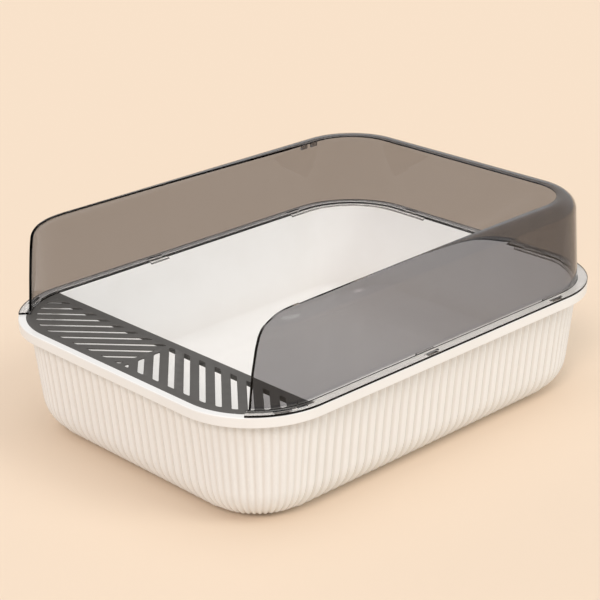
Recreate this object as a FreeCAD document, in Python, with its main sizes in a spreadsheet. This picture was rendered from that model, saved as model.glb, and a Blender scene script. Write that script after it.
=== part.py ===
import FreeCAD, Part
import math
import os
import Sketcher
from FreeCAD import Vector

# Litter tray: a fluted basin, a clear shield that snaps on its rim and a slotted grate at the front.
# The tray's length runs along Y, its entrance looks along -Y and it stands on Z = 0.

SIZES = [
    ("tray_length", 520, "rim, front to back"),
    ("tray_width", 394, "rim, side to side"),
    ("corner_radius", 86, "rim corner in plan"),
    ("rim_height", 122, "top of the rim above the ground"),
    ("rim_thickness", 2.8, "flat top of the rim"),
    ("skirt_depth", 10, "outer band that hangs from the rim"),
    ("skirt_thickness", 2.4, "wall of that band"),
    ("rim_rounding", 0.8, "broken edge round the rim"),
    ("wall_inset", 12, "groove line of the wall, in from the rim's edge"),
    ("wall_thickness", 2.6, "basin wall behind a groove"),
    ("wall_draft", 5.9, "lean of the wall in degrees"),
    ("base_radius", 42, "rounding between wall and base"),
    ("floor_thickness", 2.6, "basin floor"),
    ("foot_width", 8, "band that the basin stands on"),
    ("foot_height", 1, "recess inside that band"),
    ("flute_bulge", 0.07, "how far a flute swells out, as a share of its width"),
    ("flute_pitch", 11, "flute width on the straight walls"),
    ("corner_flutes", 14, "flutes round one corner"),
    ("base_strips", 2, "steps of the fluted wall round the base"),
    ("seat_inset", 7.8, "grate recess, in from the rim's edge"),
    ("seat_web", 1.8, "wall round and under the recess"),
    ("grate_reach", 85, "rear edge of the grate, back from the front of the rim"),
    ("grate_thickness", 4, "slotted plate"),
    ("grate_clearance", 0.3, "gap between the grate and its recess"),
    ("grate_rounding", 0.6, "broken edge round the grate's top"),
    ("grate_rib_depth", 8, "rib below the grate's rear edge"),
    ("grate_rib_thickness", 2.2, "wall of that rib"),
    ("rib_gap", 1, "gap between the rib's ends and the basin wall"),
    ("slot_width", 5.6, "width of a slot"),
    ("slot_pitch", 21.8, "slot spacing along the grate"),
    ("slot_angle", 39.5, "slot slant in degrees"),
    ("slot_border", 10.5, "plain border round the slots"),
    ("slot_start", 5, "first long slot, out from the middle at its rear end"),
    ("long_slots", 9, "slots on each side that start at the rear border"),
    ("short_slots", 3, "slots on each side that start at the centre bar"),
    ("centre_bar", 8, "plain bar between the two fans of slots"),
    ("shield_height", 90.5, "crown of the shield above the rim"),
    ("shield_wall", 2.2, "wall of the shield"),
    ("shield_lean", 3.3, "lean of the shield's wall in degrees"),
    ("crown_radius", 15, "outside of the curl at the top"),
    ("crown_turn", 103, "how far the curl turns in degrees"),
    ("lip_length", 2.4, "flat end of the curl"),
    ("lip_inset_front", 26.3, "lip's edge at the front of both sides, in from the rim's edge"),
    ("lip_inset_rear", 35.2, "lip's edge where the taper ends"),
    ("taper_end", 150, "rear end of the lip's taper, along Y"),
    ("flange_width", 10.4, "flange that lies on the rim"),
    ("flange_thickness", 2.2, "flange"),
    ("arm_angle", 49.5, "where the flange ends round the front corner, in degrees"),
    ("entrance_width", 324, "between the two arms, at the flange"),
    ("entrance_flare", 5.6, "lean of the arms' free edges in degrees"),
    ("window_length", 18, "window in the flange beside a hook"),
    ("short_window", 10, "short window beside some of the long ones"),
    ("window_width", 2.6, "a window, across the flange"),
    ("corner_window_gap", 7, "from the right front window to its short one"),
    ("back_window_gap", 2, "from the right back window to its short one"),
    ("hook_inset", 3.1, "leg of a hook, in from the rim's edge"),
    ("hook_thickness", 1.4, "leg of a hook"),
    ("hook_length", 14, "hook, along the rim"),
    ("hook_depth", 7, "hook below the flange"),
    ("hook_nose", 0.3, "catch at the end of a hook, as wide as it is when pressed through its slot"),
    ("nose_gap", 0.3, "play between the catch and the rim"),
    ("hook_clearance", 0.4, "gap round a hook in the rim"),
    ("lug_depth", 3, "locating lug inside the basin"),
    ("lug_thickness", 1.6, "wall of that lug"),
    ("lug_clearance", 0.3, "gap between the lug and the basin wall"),
    ("middle_lug", 24, "lug at the middle of each side"),
    ("corner_lug_start", 66, "rear corner lugs, out from the middle of the back"),
    ("corner_lug_rear", 150, "front end of the rear corner lugs, along Y"),
    ("corner_hook_angle", 26, "front hook round the corner, in degrees"),
    ("middle_hook_right", -24.4, "middle hook on the right side, along Y"),
    ("middle_hook_left", -45, "middle hook on the left side, along Y"),
    ("rear_hook_margin", 14.5, "rear hook, in from the end of the straight side"),
    ("back_hook_margin", 19, "back hook, in from the end of the straight back"),
    ("tooth_length", 9, "tooth under the curl that holds a scoop"),
    ("tooth_gap", 6, "gap between the two teeth"),
    ("tooth_depth", 5, "how far a tooth hangs down"),
    ("tooth_thickness", 1.8, "tooth"),
    ("tooth_place", 160, "middle of the two teeth, along Y"),
]

doc = FreeCAD.newDocument("LitterTray")
sheet = doc.addObject("Spreadsheet::Sheet", "Sizes")


def fill_sheet():
    """Writes every driving size with its alias and its meaning."""
    for row, (alias, value, meaning) in enumerate(SIZES, start=1):
        sheet.set("A%d" % row, alias)
        sheet.set("B%d" % row, str(value))
        sheet.set("C%d" % row, meaning)
        sheet.setAlias("B%d" % row, alias)
    doc.recompute()


def size(alias):
    """Reads one size back from the sheet."""
    return float(sheet.get(alias))


def evaluate(owner, text):
    """Works out an expression, for the first drawing of a shape."""
    return float(owner.evalExpression(text))


# Shared places, worked out from the sizes

def wall_inset_at(height):
    """Groove line of the leaning wall at one height."""
    drop = size("rim_height") - size("rim_thickness") - height
    return size("wall_inset") + math.tan(math.radians(size("wall_draft"))) * drop


def corner_centre(side_x, side_y):
    """Centre of one rim corner; the sides are -1 or 1."""
    x = side_x * (size("tray_width") / 2 - size("corner_radius"))
    y = side_y * (size("tray_length") / 2 - size("corner_radius"))
    return Vector(x, y, 0)


# Building helpers

def new_body(name):
    return doc.addObject("PartDesign::Body", name)


def origin_plane(body, role):
    for feature in body.Origin.OriginFeatures:
        if feature.Role == role:
            return feature
    raise RuntimeError("no plane " + role)


def new_sketch(body, name, role="XY_Plane", offset="0"):
    """Adds a sketch on an origin plane, moved along the plane's normal by an expression."""
    sketch = body.newObject("Sketcher::SketchObject", name)
    sketch.AttachmentSupport = (origin_plane(body, role), [""])
    sketch.MapMode = "FlatFace"
    sketch.setExpression("AttachmentOffset.Base.z", offset)
    return sketch


def bind(sketch, constraint, name, expression):
    """Adds a named dimension and ties it to the sheet."""
    index = sketch.addConstraint(constraint)
    sketch.renameConstraint(index, name)
    sketch.setExpression("Constraints." + name, expression)


def add_chain(sketch, pieces):
    """Adds joined lines and arcs as one closed wire and makes their ends meet."""
    first = sketch.addGeometry(pieces, False)[0]
    count = len(pieces)
    for number in range(count):
        follower = first + (number + 1) % count
        sketch.addConstraint(Sketcher.Constraint("Coincident", first + number, 2, follower, 1))
    return first


def add_outline(sketch, inset_text):
    """Adds a rounded rectangle that runs an even distance inside the rim's edge."""
    inset = evaluate(sketch, inset_text)
    half_x = size("tray_width") / 2 - inset
    half_y = size("tray_length") / 2 - inset
    radius = size("corner_radius") - inset
    flat_x = half_x - radius
    flat_y = half_y - radius
    slant = radius * math.sqrt(0.5)
    pieces = [
        Part.LineSegment(Vector(-flat_x, -half_y), Vector(flat_x, -half_y)),
        Part.Arc(Vector(flat_x, -half_y), Vector(flat_x + slant, -flat_y - slant), Vector(half_x, -flat_y)),
        Part.LineSegment(Vector(half_x, -flat_y), Vector(half_x, flat_y)),
        Part.Arc(Vector(half_x, flat_y), Vector(flat_x + slant, flat_y + slant), Vector(flat_x, half_y)),
        Part.LineSegment(Vector(flat_x, half_y), Vector(-flat_x, half_y)),
        Part.Arc(Vector(-flat_x, half_y), Vector(-flat_x - slant, flat_y + slant), Vector(-half_x, flat_y)),
        Part.LineSegment(Vector(-half_x, flat_y), Vector(-half_x, -flat_y)),
        Part.Arc(Vector(-half_x, -flat_y), Vector(-flat_x - slant, -flat_y - slant),
                 Vector(-flat_x, -half_y)),
    ]
    first = sketch.addGeometry(pieces, False)[0]
    for number in range(8):
        line_end = (first + number, 2)
        next_start = (first + (number + 1) % 8, 1)
        sketch.addConstraint(Sketcher.Constraint("Tangent", *line_end, *next_start))
    for number in (0, 4):
        sketch.addConstraint(Sketcher.Constraint("Horizontal", first + number))
    for number in (2, 6):
        sketch.addConstraint(Sketcher.Constraint("Vertical", first + number))
    for number in (3, 5, 7):
        sketch.addConstraint(Sketcher.Constraint("Equal", first + 1, first + number))
    sketch.addConstraint(Sketcher.Constraint("Symmetric", first + 1, 3, first + 5, 3, -1, 1))
    tag = "_%d" % first
    bind(sketch, Sketcher.Constraint("DistanceX", first + 6, 1, first + 2, 1, 2 * half_x),
         "width" + tag, "Sizes.tray_width - 2 * (%s)" % inset_text)
    bind(sketch, Sketcher.Constraint("DistanceY", first, 1, first + 4, 1, 2 * half_y),
         "length" + tag, "Sizes.tray_length - 2 * (%s)" % inset_text)
    bind(sketch, Sketcher.Constraint("Radius", first + 1, radius),
         "radius" + tag, "Sizes.corner_radius - (%s)" % inset_text)


def polygon(points):
    """Closed loop of lines through flat points."""
    loop = []
    for number, start in enumerate(points):
        loop.append(Part.LineSegment(start, points[(number + 1) % len(points)]))
    return loop


def pad(body, name, sketch, length, reverse=False):
    """Pads a sketch by an expression."""
    feature = body.newObject("PartDesign::Pad", name)
    feature.Profile = sketch
    feature.Reversed = reverse
    feature.Refine = False
    feature.setExpression("Length", length)
    sketch.Visibility = False
    doc.recompute()
    return feature


def pocket(body, name, sketch, length, reverse=False):
    """Cuts a sketch by an expression and checks that it took material away."""
    before = body.Shape.Volume
    feature = body.newObject("PartDesign::Pocket", name)
    feature.Profile = sketch
    feature.Reversed = reverse
    feature.Refine = False
    feature.setExpression("Length", length)
    doc.recompute()
    if not body.Shape.Volume < before:
        raise RuntimeError(name + " cuts nothing")
    return feature


def add_blocks(sketch, places, inner, outer, length):
    """Adds a rectangle at each place, between two insets from the rim's edge."""
    for point, outward in places:
        along = Vector(-outward.y, outward.x, 0) * (length / 2)
        near = point - outward * inner
        far = point - outward * outer
        add_chain(sketch, polygon([near - along, far - along, far + along, near + along]))


def add_rectangle(sketch, x_start, x_end, y_start, y_end):
    """Adds a rectangle whose four sides are tied to the sheet by expressions."""
    values = [evaluate(sketch, text) for text in (x_start, x_end, y_start, y_end)]
    left, right, front, rear = values
    corners = [Vector(left, front), Vector(right, front), Vector(right, rear), Vector(left, rear)]
    first = add_chain(sketch, polygon(corners))
    for number in (0, 2):
        sketch.addConstraint(Sketcher.Constraint("Horizontal", first + number))
    for number in (1, 3):
        sketch.addConstraint(Sketcher.Constraint("Vertical", first + number))
    tag = "_%d" % first
    bind(sketch, Sketcher.Constraint("DistanceX", -1, 1, first, 1, left), "left" + tag, x_start)
    bind(sketch, Sketcher.Constraint("DistanceX", -1, 1, first, 2, right), "right" + tag, x_end)
    bind(sketch, Sketcher.Constraint("DistanceY", -1, 1, first, 1, front), "front" + tag, y_start)
    bind(sketch, Sketcher.Constraint("DistanceY", -1, 1, first + 1, 2, rear), "rear" + tag, y_end)


def outer_edges(shape, height):
    """Names of the edges round the outside of the flat faces at one height."""
    names = []
    for face in shape.Faces:
        box = face.BoundBox
        if abs(box.ZMin - height) > 0.001 or abs(box.ZMax - height) > 0.001:
            continue
        for edge in face.OuterWire.Edges:
            for number, other in enumerate(shape.Edges, start=1):
                if edge.isSame(other):
                    names.append("Edge%d" % number)
    return names


def break_edges(body, kind, name, edges, width):
    """Rounds or chamfers edges of the body's last feature."""
    base = body.Tip
    feature = body.newObject("PartDesign::" + kind, name)
    feature.Base = (base, edges)
    feature.setExpression("Radius" if kind == "Fillet" else "Size", width)
    feature.Refine = False
    doc.recompute()


def keep_front(body, name, height, depth, edge):
    """Cuts away everything behind the line given by an expression."""
    sketch = new_sketch(body, name + "Outline", offset=height)
    add_rectangle(sketch, "-Sizes.tray_width", "Sizes.tray_width", edge, "Sizes.tray_length")
    pocket(body, name, sketch, depth)


def combine(kind, name, first, second):
    """Joins or cuts two finished objects."""
    result = doc.addObject("Part::" + kind, name)
    result.Base = first
    result.Tool = second
    result.Refine = False
    doc.recompute()
    return result


# Places of the hooks

def hook_reach(tray_size, margin):
    """Distance from the middle of the tray to a hook near the end of a straight side."""
    return size(tray_size) / 2 - size("corner_radius") - size(margin)


def hook_places():
    """Points on the rim's edge with their outward directions, round both sides and the back."""
    half_x = size("tray_width") / 2
    half_y = size("tray_length") / 2
    turn = math.radians(size("corner_hook_angle"))
    places = []
    for side in (1, -1):
        outward = Vector(side * math.cos(turn), -math.sin(turn), 0)
        places.append((corner_centre(side, -1) + outward * size("corner_radius"), outward))
        middle = size("middle_hook_right") if side > 0 else size("middle_hook_left")
        for along in (middle, hook_reach("tray_length", "rear_hook_margin")):
            places.append((Vector(side * half_x, along, 0), Vector(side, 0, 0)))
        back = hook_reach("tray_width", "back_hook_margin")
        places.append((Vector(side * back, half_y, 0), Vector(0, 1, 0)))
    return places


def short_window_places():
    """The right front hook and the right back hook have a short window beside the long one."""
    shift = (size("window_length") + size("short_window")) / 2
    round_corner = (shift + size("corner_window_gap")) / size("corner_radius")
    turn = math.radians(size("corner_hook_angle")) - round_corner
    outward = Vector(math.cos(turn), -math.sin(turn), 0)
    corner = corner_centre(1, -1) + outward * size("corner_radius")
    reach = hook_reach("tray_width", "back_hook_margin") - shift - size("back_window_gap")
    back = Vector(reach, size("tray_length") / 2, 0)
    return [(corner, outward), (back, Vector(0, 1, 0))]


# Tray basin

def flute_outline(inset, bulge):
    """Arcs of the fluted outline: an even groove line that swells out between each two grooves."""
    radius = size("corner_radius") - inset
    flat_x = size("tray_width") / 2 - size("corner_radius")
    flat_y = size("tray_length") / 2 - size("corner_radius")
    corner_count = int(size("corner_flutes"))
    walls = [
        (Vector(flat_x, -flat_y), -90, Vector(0, 2 * flat_y)),
        (Vector(flat_x, flat_y), 0, Vector(-2 * flat_x, 0)),
        (Vector(-flat_x, flat_y), 90, Vector(0, -2 * flat_y)),
        (Vector(-flat_x, -flat_y), 180, Vector(2 * flat_x, 0)),
    ]
    grooves = []
    for centre, start_angle, run in walls:
        for number in range(corner_count):
            angle = math.radians(start_angle + number * 90 / corner_count)
            grooves.append(centre + Vector(math.cos(angle), math.sin(angle)) * radius)
        outward = Vector(run.y, -run.x).normalize()
        wall_count = round(run.Length / size("flute_pitch"))
        for number in range(wall_count):
            grooves.append(centre + outward * radius + run * (number / wall_count))
    arcs = []
    for number, start in enumerate(grooves):
        end = grooves[(number + 1) % len(grooves)]
        across = end - start
        crest = (start + end) / 2 + Vector(across.y, -across.x) * bulge
        arcs.append(Part.Arc(start, crest, end))
    return arcs


def flute_sections():
    """Height, inset and bulge of each section, from the rim down and round the base."""
    draft = math.radians(size("wall_draft"))
    radius = size("base_radius")
    turn_height = radius * (1 - math.sin(draft))
    turn_inset = wall_inset_at(turn_height)
    wall_top = size("rim_height") - size("rim_thickness")
    bulge = size("flute_bulge")
    strips = int(size("base_strips"))
    sections = [(wall_top, wall_inset_at(wall_top), bulge)]
    for number in range(strips + 1):
        share = number / strips
        angle = draft + (math.pi / 2 - draft) * share
        height = radius * (1 - math.sin(angle))
        inset = turn_inset + radius * (math.cos(draft) - math.cos(angle))
        sections.append((height, inset, bulge * (1 - share ** 2 / 2)))
    return sections


def inner_inset(height):
    """Expression for the inside of the leaning wall at one height."""
    drop = "Sizes.rim_height - Sizes.rim_thickness - (%s)" % height
    return "Sizes.wall_inset + Sizes.wall_thickness + tan(Sizes.wall_draft) * (%s)" % drop


FLOOR_TOP = "Sizes.foot_height + Sizes.floor_thickness"
SEAT_DEPTH = "(Sizes.grate_thickness + Sizes.grate_clearance)"
REAR_OF_GRATE = "Sizes.grate_reach - Sizes.tray_length / 2"


def add_fluted_wall(body):
    sections = []
    for number, (height, inset, bulge) in enumerate(flute_sections()):
        sketch = new_sketch(body, "FluteSection%d" % number, offset="%.6f" % height)
        sketch.addGeometry(flute_outline(inset, bulge), False)
        sections.append(sketch)
    doc.recompute()
    wall = body.newObject("PartDesign::AdditiveLoft", "FlutedWall")
    wall.Profile = sections[0]
    wall.Sections = sections[1:]
    wall.Ruled = True
    wall.Refine = False
    doc.recompute()


def add_rim(body):
    plate = new_sketch(body, "RimOutline", offset="Sizes.rim_height")
    add_outline(plate, "0")
    pad(body, "Rim", plate, "Sizes.rim_thickness", reverse=True)
    edges = outer_edges(body.Shape, size("rim_height"))
    break_edges(body, "Chamfer", "RimEdge", edges, "Sizes.rim_rounding")
    skirt = new_sketch(body, "SkirtOutline", offset="Sizes.rim_height - Sizes.rim_thickness")
    add_outline(skirt, "0")
    add_outline(skirt, "Sizes.skirt_thickness")
    pad(body, "Skirt", skirt, "Sizes.skirt_depth - Sizes.rim_thickness", reverse=True)


def cut_foot(body):
    sketch = new_sketch(body, "FootOutline")
    wall_end = "Sizes.rim_height - Sizes.rim_thickness - Sizes.base_radius * (1 - sin(Sizes.wall_draft))"
    base_inset = "Sizes.wall_inset + tan(Sizes.wall_draft) * (%s) + Sizes.base_radius" % wall_end
    add_outline(sketch, base_inset + " + Sizes.foot_width")
    pocket(body, "FootRecess", sketch, "Sizes.foot_height", reverse=True)


def cut_hook_slots(body):
    sketch = new_sketch(body, "HookSlots", offset="Sizes.rim_height")
    gap = size("hook_clearance")
    inner = size("hook_inset") - gap
    outer = size("hook_inset") + size("hook_thickness") + gap
    add_blocks(sketch, hook_places(), inner, outer, size("hook_length") + 2 * gap)
    pocket(body, "HookSlotCut", sketch, "Sizes.rim_thickness")


def build_seat():
    """Ledge below the grate: a band behind the skirt that carries the recess."""
    body = new_body("SeatBody")
    sketch = new_sketch(body, "SeatOutline", offset="Sizes.rim_height - Sizes.rim_thickness / 2")
    add_outline(sketch, "Sizes.seat_inset - Sizes.seat_web")
    add_outline(sketch, "Sizes.wall_inset + Sizes.wall_thickness / 2")
    depth = SEAT_DEPTH + " + Sizes.seat_web - Sizes.rim_thickness / 2"
    pad(body, "SeatBand", sketch, depth, reverse=True)
    edge = REAR_OF_GRATE + " + Sizes.grate_clearance + Sizes.seat_web"
    keep_front(body, "SeatEnd", "Sizes.rim_height", "Sizes.rim_height", edge)
    return body


def build_recess():
    """Room that the grate fills, cut from the rim and the top of the wall."""
    body = new_body("RecessBody")
    sketch = new_sketch(body, "RecessOutline", offset="Sizes.rim_height - " + SEAT_DEPTH)
    add_outline(sketch, "Sizes.seat_inset")
    pad(body, "Recess", sketch, SEAT_DEPTH + " + Sizes.rim_thickness")
    edge = REAR_OF_GRATE + " + Sizes.grate_clearance"
    keep_front(body, "RecessEnd", "2 * Sizes.rim_height", "2 * Sizes.rim_height", edge)
    return body


def build_cavity():
    """Room inside the smooth leaning wall, rounded at the floor."""
    body = new_body("CavityBody")
    top = new_sketch(body, "CavityTop", offset="Sizes.rim_height")
    add_outline(top, inner_inset("Sizes.rim_height"))
    bottom = new_sketch(body, "CavityBottom", offset=FLOOR_TOP)
    add_outline(bottom, inner_inset(FLOOR_TOP))
    doc.recompute()
    room = body.newObject("PartDesign::AdditiveLoft", "Cavity")
    room.Profile = top
    room.Sections = [bottom]
    room.Ruled = True
    room.Refine = False
    doc.recompute()
    edges = outer_edges(body.Shape, evaluate(bottom, FLOOR_TOP))
    break_edges(body, "Fillet", "FloorRounding", edges, "Sizes.base_radius - Sizes.wall_thickness")
    return body


def build_basin():
    body = new_body("BasinBody")
    add_fluted_wall(body)
    add_rim(body)
    cut_foot(body)
    cut_hook_slots(body)
    solid = combine("Fuse", "SolidBasin", body, build_seat())
    room = combine("Fuse", "BasinRoom", build_cavity(), build_recess())
    return combine("Cut", "tray_basin", solid, room)


# Splash shield

def add_shield_profile(body):
    """Cross-section on the right side: flange, leaning wall, curl and lip."""
    sketch = new_sketch(body, "ShieldProfile", role="XZ_Plane")
    lean = math.radians(size("shield_lean"))
    turn = math.radians(size("crown_turn"))
    wall = size("shield_wall")
    flange = size("flange_width")
    foot = size("flange_thickness")
    radius = size("crown_radius")
    centre_up = size("shield_height") - radius
    centre_in = flange + math.tan(lean) * (centre_up - foot) + radius / math.cos(lean)

    def at(inset, up):
        return Vector(size("tray_width") / 2 - inset, size("rim_height") + up, 0)

    def on_curl(ring, angle):
        return at(centre_in - ring * math.cos(angle), centre_up + ring * math.sin(angle))

    inner = radius - wall
    lip = Vector(-math.sin(turn), math.cos(turn), 0) * size("lip_length")
    middle = (lean + turn) / 2
    inner_foot = at(flange - math.tan(lean) * foot + wall / math.cos(lean), 0)
    sketch.addGeometry([
        Part.LineSegment(at(0, 0), at(0, foot)),
        Part.LineSegment(at(0, foot), at(flange, foot)),
        Part.LineSegment(at(flange, foot), on_curl(radius, lean)),
        Part.Arc(on_curl(radius, lean), on_curl(radius, middle), on_curl(radius, turn)),
        Part.LineSegment(on_curl(radius, turn), on_curl(radius, turn) + lip),
        Part.LineSegment(on_curl(radius, turn) + lip, on_curl(inner, turn) + lip),
        Part.LineSegment(on_curl(inner, turn) + lip, on_curl(inner, turn)),
        Part.Arc(on_curl(inner, lean), on_curl(inner, middle), on_curl(inner, turn)),
        Part.LineSegment(on_curl(inner, lean), inner_foot),
        Part.LineSegment(inner_foot, at(0, 0)),
    ], False)
    rim_edge, flange_top, wall_out, curl_out, lip_top, lip_end, lip_low, curl_in, wall_in, base = range(10)
    start, end, centre = 1, 2, 3
    corners = [(rim_edge, flange_top), (flange_top, wall_out), (lip_top, lip_end), (lip_end, lip_low),
               (wall_in, base), (base, rim_edge)]
    for first, second in corners:
        sketch.addConstraint(Sketcher.Constraint("Coincident", first, end, second, start))
    for first, first_end, second, second_end in (
            (wall_out, end, curl_out, start), (curl_out, end, lip_top, start),
            (lip_low, end, curl_in, end), (curl_in, start, wall_in, start)):
        sketch.addConstraint(Sketcher.Constraint("Tangent", first, first_end, second, second_end))
    sketch.addConstraint(Sketcher.Constraint("Coincident", curl_out, centre, curl_in, centre))
    sketch.addConstraint(Sketcher.Constraint("Vertical", rim_edge))
    sketch.addConstraint(Sketcher.Constraint("Horizontal", flange_top))
    sketch.addConstraint(Sketcher.Constraint("Horizontal", base))
    sketch.addConstraint(Sketcher.Constraint("Parallel", wall_out, wall_in))
    sketch.addConstraint(Sketcher.Constraint("Parallel", lip_top, lip_low))
    sketch.addConstraint(Sketcher.Constraint("Perpendicular", lip_top, lip_end))
    bind(sketch, Sketcher.Constraint("DistanceX", -1, 1, rim_edge, start, size("tray_width") / 2),
         "rim_edge", "Sizes.tray_width / 2")
    bind(sketch, Sketcher.Constraint("DistanceY", -1, 1, rim_edge, start, size("rim_height")),
         "rim_top", "Sizes.rim_height")
    bind(sketch, Sketcher.Constraint("DistanceY", rim_edge, start, rim_edge, end, foot),
         "flange_thickness", "Sizes.flange_thickness")
    bind(sketch, Sketcher.Constraint("DistanceX", flange_top, end, flange_top, start, flange),
         "flange_width", "Sizes.flange_width")
    bind(sketch, Sketcher.Constraint("DistanceY", rim_edge, start, curl_out, centre, centre_up),
         "curl_height", "Sizes.shield_height - Sizes.crown_radius")
    bind(sketch, Sketcher.Constraint("Radius", curl_out, radius), "curl_outside", "Sizes.crown_radius")
    bind(sketch, Sketcher.Constraint("Radius", curl_in, inner),
         "curl_inside", "Sizes.crown_radius - Sizes.shield_wall")
    bind(sketch, Sketcher.Constraint("Angle", wall_out, math.pi / 2 + lean),
         "wall_angle", "90 + Sizes.shield_lean")
    bind(sketch, Sketcher.Constraint("Angle", curl_out, turn - lean),
         "curl_turn", "Sizes.crown_turn - Sizes.shield_lean")
    bind(sketch, Sketcher.Constraint("Distance", lip_top, size("lip_length")),
         "lip_length", "Sizes.lip_length")
    return sketch


def sweep_shield(body):
    path = new_sketch(body, "ShieldPath", offset="Sizes.rim_height")
    add_outline(path, "0")
    sweep = body.newObject("PartDesign::AdditivePipe", "ShieldSweep")
    sweep.Profile = add_shield_profile(body)
    sweep.Spine = path
    sweep.Refine = False
    doc.recompute()


def cut_flange_front(body):
    """Ends the flange radially, part of the way round each front corner."""
    sketch = new_sketch(body, "FlangeEnds", offset="Sizes.rim_height")
    angle = math.radians(size("arm_angle"))
    far = size("tray_length") / 2
    right = corner_centre(1, -1)
    left = corner_centre(-1, -1)
    reach = 2 * size("corner_radius")
    right_end = right + Vector(math.cos(angle), -math.sin(angle), 0) * reach
    left_end = left + Vector(-math.cos(angle), -math.sin(angle), 0) * reach
    outline = [left, left_end, Vector(left_end.x, -2 * far), Vector(right_end.x, -2 * far), right_end, right]
    add_chain(sketch, polygon(outline))
    pocket(body, "FlangeEndCut", sketch, "2 * Sizes.shield_height", reverse=True)


def cut_entrance(body):
    """Leaves two arms whose free edges lean outwards."""
    front_corners = "Sizes.tray_length / 2 - Sizes.corner_radius"
    sketch = new_sketch(body, "Entrance", role="XZ_Plane", offset=front_corners)
    bottom = size("rim_height") + size("flange_thickness")
    top = size("rim_height") + 2 * size("shield_height")
    low = size("entrance_width") / 2
    high = low + math.tan(math.radians(size("entrance_flare"))) * (top - bottom)
    outline = [Vector(-low, bottom), Vector(low, bottom), Vector(high, top), Vector(-high, top)]
    add_chain(sketch, polygon(outline))
    before = body.Shape.Volume
    cut = body.newObject("PartDesign::Pocket", "EntranceCut")
    cut.Profile = sketch
    cut.Refine = False
    cut.setExpression("Length", "Sizes.tray_length")
    cut.Reversed = True
    doc.recompute()
    if not body.Shape.Volume < before:
        raise RuntimeError("the entrance cuts nothing")


def cut_lip_taper(body):
    """Narrows the lip towards the front of both sides."""
    sketch = new_sketch(body, "LipTaper", offset="Sizes.rim_height + Sizes.shield_height")
    front = corner_centre(1, -1).y
    rear = size("taper_end")
    narrow = size("tray_width") / 2 - size("lip_inset_front")
    wide = size("tray_width") / 2 - size("lip_inset_rear")
    outline = [Vector(-narrow, front), Vector(narrow, front), Vector(wide, rear), Vector(-wide, rear)]
    add_chain(sketch, polygon(outline))
    pocket(body, "LipTaperCut", sketch, "Sizes.crown_radius")


def cut_windows(body):
    sketch = new_sketch(body, "Windows", offset="Sizes.rim_height + Sizes.flange_thickness")
    inner = size("hook_inset") + size("hook_thickness")
    outer = inner + size("window_width")
    add_blocks(sketch, hook_places(), inner, outer, size("window_length"))
    add_blocks(sketch, short_window_places(), inner, outer, size("short_window"))
    pocket(body, "WindowCut", sketch, "Sizes.flange_thickness")


def add_hooks(body):
    legs = new_sketch(body, "HookLegs", offset="Sizes.rim_height + Sizes.flange_thickness / 2")
    inner = size("hook_inset")
    outer = inner + size("hook_thickness")
    add_blocks(legs, hook_places(), inner, outer, size("hook_length"))
    pad(body, "Hooks", legs, "Sizes.hook_depth + Sizes.flange_thickness / 2", reverse=True)
    noses = new_sketch(body, "HookNoses", offset="Sizes.rim_height - Sizes.rim_thickness - Sizes.nose_gap")
    add_blocks(noses, hook_places(), inner, outer + size("hook_nose"), size("hook_length"))
    pad(body, "Noses", noses, "Sizes.hook_depth - Sizes.rim_thickness - Sizes.nose_gap", reverse=True)


def add_teeth(body):
    """Two teeth below the lip on the left side that hold the handle of a scoop."""
    sketch = new_sketch(body, "Teeth", offset="Sizes.rim_height + Sizes.shield_height - Sizes.shield_wall")
    edge = -size("tray_width") / 2 + size("lip_inset_rear")
    step = (size("tooth_length") + size("tooth_gap")) / 2
    for middle in (size("tooth_place") - step, size("tooth_place") + step):
        front = middle - size("tooth_length") / 2
        rear = middle + size("tooth_length") / 2
        inner = edge - size("tooth_thickness")
        add_chain(sketch, polygon([Vector(inner, front), Vector(edge, front),
                                   Vector(edge, rear), Vector(inner, rear)]))
    pad(body, "ToothPads", sketch, "Sizes.tooth_depth", reverse=True)


def build_lugs():
    """Locating lugs that hang inside the basin, at the middle of each side and round the rear corners."""
    body = new_body("LugBody")
    foot_z = "Sizes.rim_height + Sizes.lug_thickness"
    lug_face = inner_inset("Sizes.rim_height - Sizes.lug_depth") + " + Sizes.lug_clearance"
    foot = new_sketch(body, "LugFoot", offset=foot_z)
    add_outline(foot, "Sizes.flange_width + Sizes.shield_wall / 2")
    add_outline(foot, lug_face + " + Sizes.lug_thickness")
    pad(body, "LugPlate", foot, "Sizes.lug_thickness", reverse=True)
    lip = new_sketch(body, "LugLip", offset="Sizes.rim_height + Sizes.lug_thickness / 2")
    add_outline(lip, lug_face)
    add_outline(lip, lug_face + " + Sizes.lug_thickness")
    pad(body, "LugWall", lip, "Sizes.lug_depth + Sizes.lug_thickness / 2", reverse=True)
    zones = new_body("LugZoneBody")
    zones.AllowCompound = True
    zone = new_sketch(zones, "LugZones", offset="Sizes.rim_height - 2 * Sizes.lug_depth")
    sides = (
        ("-Sizes.tray_width / 2", "-Sizes.corner_lug_start", "Sizes.middle_hook_left"),
        ("Sizes.corner_lug_start", "Sizes.tray_width / 2", "Sizes.middle_hook_right"),
    )
    for left, right, middle in sides:
        add_rectangle(zone, left, right, "Sizes.corner_lug_rear", "Sizes.tray_length / 2")
        front = middle + " - Sizes.middle_lug / 2"
        add_rectangle(zone, left, right, front, middle + " + Sizes.middle_lug / 2")
    pad(zones, "LugZonePad", zone, "4 * Sizes.lug_depth")
    return combine("Common", "Lugs", body, zones)


def build_shield():
    body = new_body("ShieldBody")
    sweep_shield(body)
    cut_flange_front(body)
    cut_entrance(body)
    cut_lip_taper(body)
    cut_windows(body)
    add_hooks(body)
    add_teeth(body)
    return combine("Fuse", "splash_shield", body, build_lugs())


# Litter grate

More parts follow.
